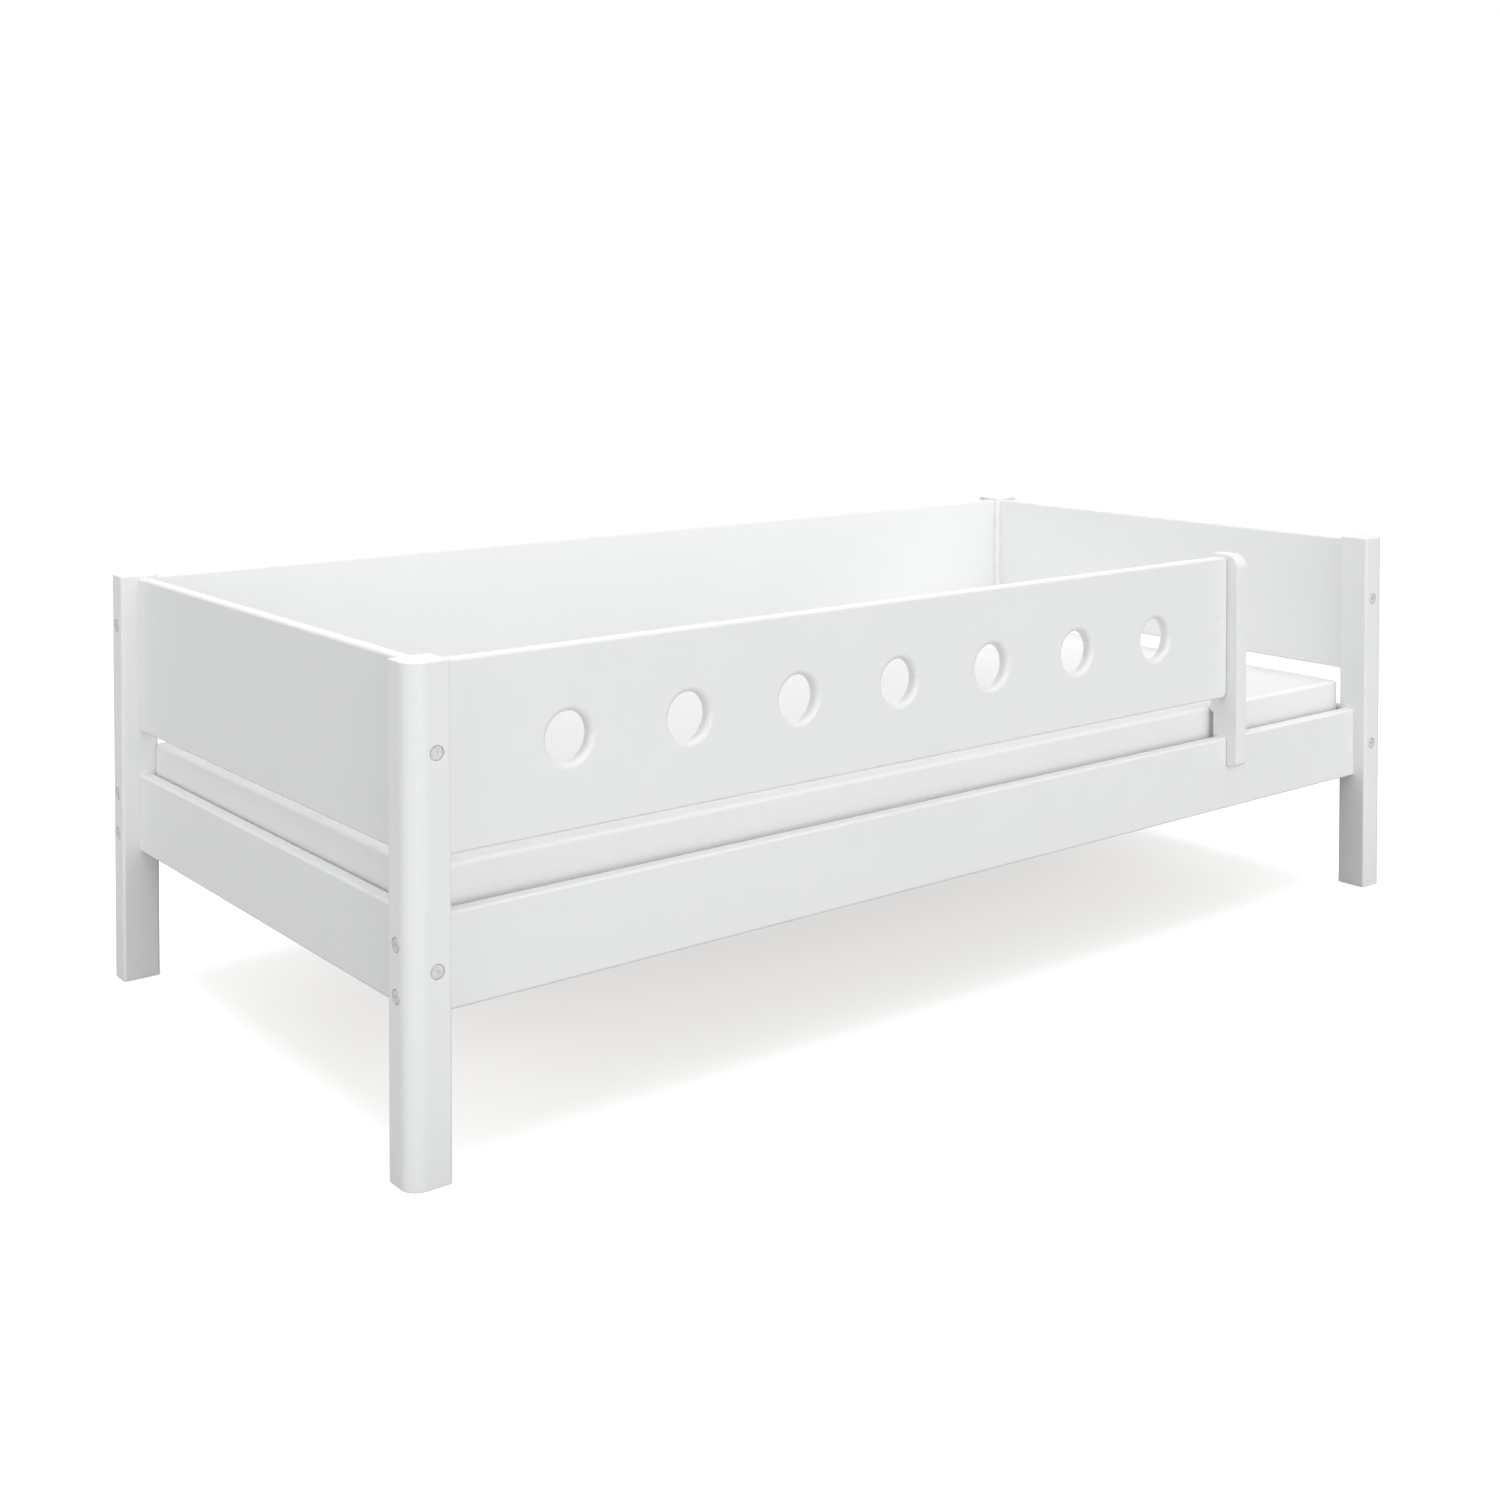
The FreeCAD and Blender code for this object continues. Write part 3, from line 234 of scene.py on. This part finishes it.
def make_knit(name, colour_light, colour_dark, pitch, depth):
    """White textile: a fine diagonal knit of the given pitch, with painted shade in the dips
    between its loops.
    """
    material, tree, shader, place = new_material(name)
    turn = 2 * math.pi / pitch
    parts = add(tree, "ShaderNodeSeparateXYZ", {0: place}).outputs
    across = calc(tree, "ADD", parts[0], parts[2])
    along = calc(tree, "SUBTRACT", parts[1], parts[2])
    warp = calc(tree, "SINE", calc(tree, "MULTIPLY", calc(tree, "ADD", across, along), turn))
    weft = calc(tree, "SINE", calc(tree, "MULTIPLY", calc(tree, "SUBTRACT", across, along), turn))
    loops = calc(tree, "MAXIMUM", warp, weft)
    fluff = noise_at(tree, place, 1500.0, 2.0, 0.6)
    cloth = calc(tree, "ADD", calc(tree, "MULTIPLY", loops, 0.5), fluff)
    soil = noise_at(tree, place, 3.4, 4.0, 0.6)
    # The knit pattern's colour follows its relief. The dips between loops are darker, which is
    # painted shade, and the soil noise adds real dirt.
    knit_relief_painted_shade, worn = spread(tree, cloth, 0.0, 1.4, 0.0, 0.6), spread(tree, soil, 0.35, 0.7, 0.0, 0.4)
    shade = calc(tree, "ADD", knit_relief_painted_shade, worn)
    colour = blend_colour(tree, shade, rgba(*colour_dark), rgba(*colour_light))
    rough = spread(tree, fluff, 0.3, 0.7, 0.82, 0.92)
    wire(tree, shader, colour, rough, bump(tree, cloth, depth))
    shader.inputs["Specular IOR Level"].default_value = 0.2
    shader.inputs["Sheen Weight"].default_value = 0.12
    shader.inputs["Sheen Roughness"].default_value = 0.45
    return material


def size_of(node):
    low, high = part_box(node)
    return tuple(high - low)


def dress(node, material):
    """Gives a CAD node its material in every slot."""
    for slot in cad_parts[node].material_slots:
        slot.material = material


GUARD_LOW, GUARD_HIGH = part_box("guard_rail")
HOLE_PITCH = 0.202
HOLE_RADIUS = 0.035
HOLE_ROUNDING = 0.0085
HOLE_START = 0.194
HOLE_FIRST = GUARD_LOW.x + HOLE_START
HOLE_LEVEL = (GUARD_LOW.z + GUARD_HIGH.z) / 2


def hole_rims(tree, place):
    """1 on the rims of the guard rail's holes."""
    parts = add(tree, "ShaderNodeSeparateXYZ", {0: place}).outputs
    shifted = calc(tree, "SUBTRACT", parts[0], HOLE_FIRST - HOLE_PITCH / 2)
    cell = calc(tree, "SUBTRACT", calc(tree, "MODULO", shifted, HOLE_PITCH), HOLE_PITCH / 2)
    rise = calc(tree, "SUBTRACT", parts[2], HOLE_LEVEL)
    flat = add(tree, "ShaderNodeCombineXYZ", {0: cell, 1: rise, 2: 0.0}).outputs[0]
    away = add(tree, "ShaderNodeVectorMath", {0: flat}, operation="LENGTH").outputs["Value"]
    rim = HOLE_RADIUS + HOLE_ROUNDING
    return spread(tree, away, rim, rim - HOLE_ROUNDING / 2)


lacquer_posts = make_lacquer("lacquer_posts", size_of("post_front_left"), 2)
lacquer_side_rails = make_lacquer("lacquer_side_rails", size_of("side_rail_front"), 0)
lacquer_rear_panel = make_lacquer("lacquer_rear_panel", size_of("rear_panel"), 0)
lacquer_end_rails = make_lacquer("lacquer_end_rails", size_of("end_rail_left"), 1)
lacquer_end_panels = make_lacquer("lacquer_end_panels", size_of("end_panel_left"), 1)
lacquer_guard = make_lacquer("lacquer_guard", size_of("guard_rail"), 0, hole_rims)
lacquer_support = make_lacquer("lacquer_support", size_of("guard_support"), 2)

SPRUCE_SLAT = ((0.76, 0.62, 0.44), (0.62, 0.45, 0.28))
SPRUCE_LEDGER = ((0.75, 0.61, 0.43), (0.60, 0.44, 0.28))
BEECH = ((0.66, 0.45, 0.27), (0.5, 0.31, 0.17))
DOWEL_SIZE = (0.04, 0.04, 0.04)
BEECH_RINGS = 300.0
slat_wood = make_wood("slat_spruce", size_of("slat_01"), 1, *SPRUCE_SLAT)
ledger_wood = make_wood("ledger_spruce", size_of("ledger_front"), 0, *SPRUCE_LEDGER)
dowel_wood = make_wood("dowel_beech", DOWEL_SIZE, 1, *BEECH, BEECH_RINGS)
bolt_steel = make_steel("bolt_zinc_flake", (0.81, 0.82, 0.82), 0.44, 0.3)
screw_steel = make_steel("screw_zinc", (0.72, 0.73, 0.75), 0.42, 1.0)

WEBBING_TONES = ((0.80, 0.79, 0.75), (0.60, 0.58, 0.54))
TICKING_TONES = ((0.89, 0.891, 0.888), (0.845, 0.848, 0.852))
webbing = make_knit("ribbon_webbing", *WEBBING_TONES, 0.0024, 0.00025)
ticking = make_knit("mattress_ticking", *TICKING_TONES, 0.0032, 0.00018)

# A node takes the last material whose start or ending its name has.
DRESSES = [
    ("post_", lacquer_posts),
    ("side_rail_", lacquer_side_rails),
    ("rear_panel", lacquer_rear_panel),
    ("end_rail_", lacquer_end_rails),
    ("end_panel_", lacquer_end_panels),
    ("guard_rail", lacquer_guard),
    ("guard_support", lacquer_support),
    ("slat_", slat_wood),
    ("ledger_", ledger_wood),
    ("slat_ribbon", webbing),
    ("mattress", ticking),
]
ENDINGS = [
    ("_bolts", bolt_steel),
    ("_inserts", screw_steel),
    ("_screws", screw_steel),
    ("_dowels", dowel_wood),
]
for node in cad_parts:
    material = None
    for start, choice in DRESSES:
        if node.startswith(start):
            material = choice
    for ending, choice in ENDINGS:
        if node.endswith(ending):
            material = choice
    dress(node, material)


# ---------------------------------------------------------------- mesh helpers

def to_object(name, mesh_tool, material, smooth=True):
    """Turns a bmesh into an object with a material."""
    mesh = bpy.data.meshes.new(name)
    mesh_tool.to_mesh(mesh)
    mesh_tool.free()
    for face in mesh.polygons:
        face.use_smooth = smooth
    mesh.materials.append(material)
    thing = bpy.data.objects.new(name, mesh)
    scene.collection.objects.link(thing)
    return thing


def apply_modifiers(thing):
    """Replaces the mesh by what its modifiers make of it."""
    graph = bpy.context.evaluated_depsgraph_get()
    made = bpy.data.meshes.new_from_object(thing.evaluated_get(graph))
    old = thing.data
    thing.modifiers.clear()
    thing.data = made
    bpy.data.meshes.remove(old)


def points_of(mesh):
    flat = np.empty(len(mesh.vertices) * 3)
    mesh.vertices.foreach_get("co", flat)
    return flat.reshape(-1, 3)


def move_points(mesh, points):
    mesh.vertices.foreach_set("co", points.reshape(-1))
    mesh.update()


# -------------------------------------------------------------------- mattress

# Before it swells, the block ends START_IN below the CAD solid's top and above its
# underside, and stands out from it towards the end boards and the rear panel.
START_IN = 0.001
ENDS_OUT = 0.0055
REAR_OUT = 0.003
MOST_SWELL = 0.0016
ROUNDING = 0.007
CELL = 0.018
PRESSURE = 4.0
LAST_FRAME = 20
PIPING_RADIUS = 0.0011
PIPING_RISE = 0.03


def grid_lines(low, high):
    """Lines across one side of the mattress: close in its rounded edges, even between."""
    close = [ROUNDING * math.tan(math.radians(angle)) for angle in (45, 30, 15)]
    start, end = low + ROUNDING, high - ROUNDING
    count = round((end - start) / CELL)
    even = [start + (end - start) * step / count for step in range(count + 1)]
    return [start - gap for gap in close] + even + [end + gap for gap in reversed(close)]


def rounded_block(name, low, high, material):
    """A closed block of small faces, with its edges and corners rounded."""
    lines = [grid_lines(low[axis], high[axis]) for axis in range(3)]
    tool = bmesh.new()
    for axis in range(3):
        across, along = (axis + 1) % 3, (axis + 2) % 3
        for level in (lines[axis][0], lines[axis][-1]):
            rows = []
            for first in lines[across]:
                row = []
                for second in lines[along]:
                    place = [0.0, 0.0, 0.0]
                    place[axis], place[across], place[along] = level, first, second
                    row.append(tool.verts.new(place))
                rows.append(row)
            for before, after in zip(rows, rows[1:]):
                for at in range(len(before) - 1):
                    tool.faces.new((before[at], before[at + 1], after[at + 1], after[at]))
    bmesh.ops.remove_doubles(tool, verts=tool.verts, dist=1e-6)
    for vertex in tool.verts:
        inner = Vector(
            min(max(vertex.co[axis], low[axis] + ROUNDING), high[axis] - ROUNDING)
            for axis in range(3)
        )
        vertex.co = inner + (vertex.co - inner).normalized() * ROUNDING
    bmesh.ops.recalc_face_normals(tool, faces=tool.faces)
    return to_object(name, tool, material)


def make_mattress():
    """The covered foam block, blown up a little by a cloth simulation."""
    low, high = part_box("mattress_cover")
    start_low = low + Vector((-ENDS_OUT, 0.0, START_IN))
    start_high = high + Vector((ENDS_OUT, REAR_OUT, -START_IN))
    block = rounded_block("mattress", start_low, start_high, ticking)
    start = points_of(block.data)
    cloth = block.modifiers.new("cloth", "CLOTH")
    cloth.settings.use_pressure = True
    cloth.settings.uniform_pressure_force = PRESSURE
    cloth.settings.effector_weights.gravity = 0.0
    for number in range(1, LAST_FRAME + 1):
        scene.frame_set(number)
    apply_modifiers(block)
    scene.frame_set(1)
    moved = points_of(block.data) - start
    length = np.linalg.norm(moved, axis=1, keepdims=True)
    points = start + moved * np.minimum(1.0, MOST_SWELL / np.maximum(length, 1e-9))
    move_points(block.data, points)
    refine = block.modifiers.new("refine", "SUBSURF")
    refine.levels = refine.render_levels = 1
    apply_modifiers(block)
    points = points_of(block.data)
    points[:, 2] = np.maximum(points[:, 2], low.z)
    move_points(block.data, points)
    for face in block.data.polygons:
        face.use_smooth = True
    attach(block, "mattress")
    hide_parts("mattress_cover", "mattress_core")
    return block


def make_piping(block):
    """The corded seam around the sides, a little above the underside."""
    low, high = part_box("mattress_cover")
    level = low.z + PIPING_RISE
    tree = BVHTree.FromObject(block, bpy.context.evaluated_depsgraph_get())
    middle = Vector(((low.x + high.x) / 2, (low.y + high.y) / 2, level))
    half_long, half_wide = (high.x - low.x) / 2, (high.y - low.y) / 2
    signs = [(-1, -1), (1, -1), (1, 1), (-1, 1)]
    corners = [(along * half_long, across * half_wide) for along, across in signs]
    curve = bpy.data.curves.new("mattress_piping", "CURVE")
    curve.dimensions = "3D"
    curve.bevel_depth = PIPING_RADIUS
    curve.bevel_resolution = 3
    line = curve.splines.new("POLY")
    line.use_cyclic_u = True
    places = []
    for number, corner in enumerate(corners):
        following = corners[(number + 1) % 4]
        count = round(math.dist(corner, following) / CELL)
        for step in range(count):
            share = (step + 0.5) / count
            aim = Vector((
                corner[0] + (following[0] - corner[0]) * share,
                corner[1] + (following[1] - corner[1]) * share,
                0.0,
            ))
            hit = tree.find_nearest(middle + aim * 1.01)[0]
            places.append((hit.x, hit.y, level))
    line.points.add(len(places) - 1)
    for point, place in zip(line.points, places):
        point.co = (*place, 1.0)
    curve.materials.append(webbing)
    piping = bpy.data.objects.new("mattress_piping", curve)
    scene.collection.objects.link(piping)
    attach(piping, "mattress")


make_piping(make_mattress())


# --------------------------------------------------------------------- ribbons

SLATS = sorted(
    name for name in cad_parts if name.startswith("slat_") and "ribbon" not in name
)
RIBBON_SAG = 0.0022
RIBBON_STEPS = 12
RIBBON_SIDES = 24
STAPLE_HALF = 0.00525
STAPLE_LEG = 0.0035
STAPLE_BEND = 0.0006
STAPLE_WIRE = 0.0011
STAPLE_RISE = 0.0006
STAPLE_STRAY = 0.006
STAPLE_TILT = 0.16


def sweep(tool, rings):
    """Skins a row of rings of equal length, and caps the two ends."""
    rows = [[tool.verts.new(point) for point in ring] for ring in rings]
    count = len(rows[0])
    for first, second in zip(rows, rows[1:]):
        for at in range(count):
            after = (at + 1) % count
            tool.faces.new((first[at], first[after], second[after], second[at]))
    tool.faces.new(rows[0])
    tool.faces.new(tuple(reversed(rows[-1])))
    bmesh.ops.recalc_face_normals(tool, faces=tool.faces)


def ribbon_path(low, high):
    """Points along the ribbon's middle: flat under each slat, sagging in each gap."""
    middle = (low.z + high.z) / 2
    places = [(low.x, middle)]
    for before, after in zip(SLATS, SLATS[1:]):
        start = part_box(before)[1].x
        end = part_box(after)[0].x
        for step in range(RIBBON_STEPS + 1):
            share = step / RIBBON_STEPS
            sag = RIBBON_SAG * math.sin(math.pi * share) ** 2
            places.append((start + (end - start) * share, middle - sag))
    places.append((high.x, middle))
    return places


def make_ribbon(name, node):
    """A woven ribbon with soft selvedges, stapled under the slats."""
    low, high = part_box(node)
    centre = (low.y + high.y) / 2
    half_width = (high.y - low.y) / 2
    half_thickness = (high.z - low.z) / 2
    outline = []
    for turn in range(RIBBON_SIDES):
        angle = 2 * math.pi * turn / RIBBON_SIDES
        across = math.copysign(abs(math.cos(angle)) ** 0.35, math.cos(angle))
        upward = math.copysign(abs(math.sin(angle)) ** 0.8, math.sin(angle))
        outline.append((across * half_width, upward * half_thickness))
    tool = bmesh.new()
    rings = [
        [(x, centre + across, level + upward) for across, upward in outline]
        for x, level in ribbon_path(low, high)
    ]
    sweep(tool, rings)
    ribbon = to_object(name, tool, webbing)
    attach(ribbon, "slatted_base")
    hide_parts(node)


def make_staples(name, node):
    """One wire staple through the ribbon into each slat."""
    low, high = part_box(node)
    centre = (low.y + high.y) / 2
    chance = random.Random(len(name))
    tool = bmesh.new()
    half, inner = STAPLE_HALF, STAPLE_HALF - STAPLE_BEND
    legs = [(-half, STAPLE_LEG), (-half, STAPLE_BEND), (-inner, 0.0)]
    legs += [(-across, upward) for across, upward in reversed(legs)]
    outline = [(-1, 0.0), (-1, STAPLE_RISE), (1, STAPLE_RISE), (1, 0.0)]
    for slat in SLATS:
        slat_low, slat_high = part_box(slat)
        middle = (slat_low.x + slat_high.x) / 2 + chance.uniform(-STAPLE_STRAY, STAPLE_STRAY)
        tilt = chance.uniform(-STAPLE_TILT, STAPLE_TILT)
        rings = []
        for across, upward in legs:
            ring = []
            for side, push in outline:
                along = side * STAPLE_WIRE / 2
                if upward > 0.0:
                    y, z = across + math.copysign(push, across), upward
                else:
                    y, z = across, -push
                ring.append((
                    middle + along * math.cos(tilt) - y * math.sin(tilt),
                    centre + along * math.sin(tilt) + y * math.cos(tilt),
                    low.z + z,
                ))
            rings.append(ring)
        sweep(tool, rings)
    staples = to_object(name, tool, screw_steel, smooth=False)
    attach(staples, "slatted_base")


for place in ("front", "rear"):
    make_ribbon("ribbon_" + place, "slat_ribbon_" + place)
    make_staples("ribbon_staples_" + place, "slat_ribbon_" + place)


# ---------------------------------------------------------------- stage and camera

SKY_PATCH = math.radians(45)
FLOOR_START = 1.4
FLOOR_END = 3.2
FLOOR_GLOW = 0.52
FLOOR_BOUNCE = 0.4
WORLD_SEEN = 1.02


def make_floor():
    """A pale floor that fades into the white surroundings away from the bed."""
    tool = bmesh.new()
    bmesh.ops.create_grid(tool, x_segments=8, y_segments=8, size=FLOOR_END * 1.2)
    material, tree, shader, place = new_material("studio_floor")
    tone = noise_at(tree, place, 0.8, 2.0)
    colour = blend_colour(tree, tone, rgba(0.87, 0.87, 0.87), rgba(0.885, 0.885, 0.885))
    rough = spread(tree, tone, 0.3, 0.7, 0.85, 0.95)
    wire(tree, shader, colour, rough, bump(tree, noise_at(tree, place, 30.0), 0.0001))
    shader.inputs["Specular IOR Level"].default_value = 0.1
    shader.inputs["Emission Color"].default_value = rgba(1.0, 1.0, 1.0)
    shader.inputs["Emission Strength"].default_value = FLOOR_GLOW
    grey = rgba(FLOOR_BOUNCE, FLOOR_BOUNCE, FLOOR_BOUNCE)
    bounce = add(tree, "ShaderNodeBsdfDiffuse", {"Color": grey}).outputs[0]
    seen = add(tree, "ShaderNodeLightPath").outputs["Is Camera Ray"]
    both = {0: seen, 1: bounce, 2: shader.outputs[0]}
    surface = add(tree, "ShaderNodeMixShader", both).outputs[0]
    away = add(tree, "ShaderNodeVectorMath", {0: place}, operation="LENGTH").outputs["Value"]
    fade = spread(tree, away, FLOOR_START, FLOOR_END)
    nothing = add(tree, "ShaderNodeBsdfTransparent").outputs[0]
    faded = add(tree, "ShaderNodeMixShader", {0: fade, 1: surface, 2: nothing}).outputs[0]
    tree.links.new(faded, tree.nodes["Material Output"].inputs["Surface"])
    floor = to_object("floor", tool, material, smooth=False)
    floor.location.z = cad_box[0].z


def make_world(strength):
    """White as the camera sees it, and a weaker, slightly cool light on everything."""
    world = bpy.data.worlds.new("studio")
    scene.world = world
    world.use_nodes = True
    tree = world.node_tree
    tree.nodes.clear()
    white = {"Color": rgba(1.0, 1.0, 1.0), "Strength": WORLD_SEEN}
    cool = {"Color": rgba(0.985, 0.992, 1.0), "Strength": strength}
    seen = add(tree, "ShaderNodeBackground", white)
    lit = add(tree, "ShaderNodeBackground", cool)
    camera_ray = add(tree, "ShaderNodeLightPath").outputs["Is Camera Ray"]
    both = {0: camera_ray, 1: lit.outputs[0], 2: seen.outputs[0]}
    mixed = add(tree, "ShaderNodeMixShader", both)
    add(tree, "ShaderNodeOutputWorld", {0: mixed.outputs[0]})


def place_light(light, place, direction):
    thing = bpy.data.objects.new(light.name, light)
    thing.location = place
    thing.rotation_euler = Vector(direction).to_track_quat("-Z", "Y").to_euler()
    scene.collection.objects.link(thing)


def make_sun(name, direction, strength):
    """Light from a wide patch of sky."""
    light = bpy.data.lights.new(name, "SUN")
    light.energy = strength
    light.angle = SKY_PATCH
    place_light(light, (0.0, 0.0, 5.0), direction)


CAMERA_PLACE = (-2.2135, -2.6105, 1.1197)
CAMERA_DOWN = 0.0259
CAMERA_HEADING = -0.6637


def make_camera():
    """Nearly level camera whose picture is shifted down to the bed."""
    data = bpy.data.cameras.new("camera")
    data.sensor_width = 36.0
    data.lens = 45.89
    data.shift_x = 0.0213
    data.shift_y = -0.265
    data.dof.use_dof = False
    camera = bpy.data.objects.new("camera", data)
    camera.location = CAMERA_PLACE
    camera.rotation_euler = (math.pi / 2 - CAMERA_DOWN, 0.0, CAMERA_HEADING)
    scene.collection.objects.link(camera)
    scene.camera = camera


make_floor()
make_world(0.51)
make_sun("sky", (0.0, 0.0, -1.0), 1.20)
make_sun("side", (1.0, 0.1, -0.35), 0.70)
make_sun("front", (0.05, 1.0, -0.25), 1.32)
make_sun("behind", (-0.6, -0.8, -0.3), 0.5)
make_camera()
scene.view_settings.view_transform = "Standard"
